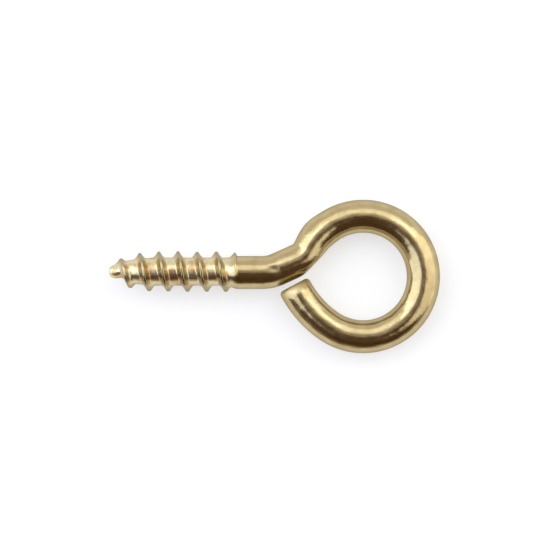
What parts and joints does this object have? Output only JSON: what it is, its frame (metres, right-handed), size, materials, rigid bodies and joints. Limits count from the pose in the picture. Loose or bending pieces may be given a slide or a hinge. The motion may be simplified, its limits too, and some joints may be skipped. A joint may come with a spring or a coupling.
{
  "type": "screw eye",
  "caption": "Brass-coloured screw eye bent from one wire: a pointed wood-screw thread, a short plain shank, a cranked neck and a round eye for a hook, cord or wire.",
  "frame": {"origin": "on the shank's axis at the shoulder, where the thread runs out and the board's surface comes when the eye is screwed home", "axes": "+X along the shank from the point to the eye, +Y across the eye towards the side on which the neck enters it, +Z square to the flat eye, up when it lies on a table"},
  "size_m": [0.025, 0.0116, 0.003],
  "materials": {
    "brass_plating": "bright"
  },
  "bodies": {
    "root": {"screw_eye": "brass_plating"}
  },
  "joints": []
}
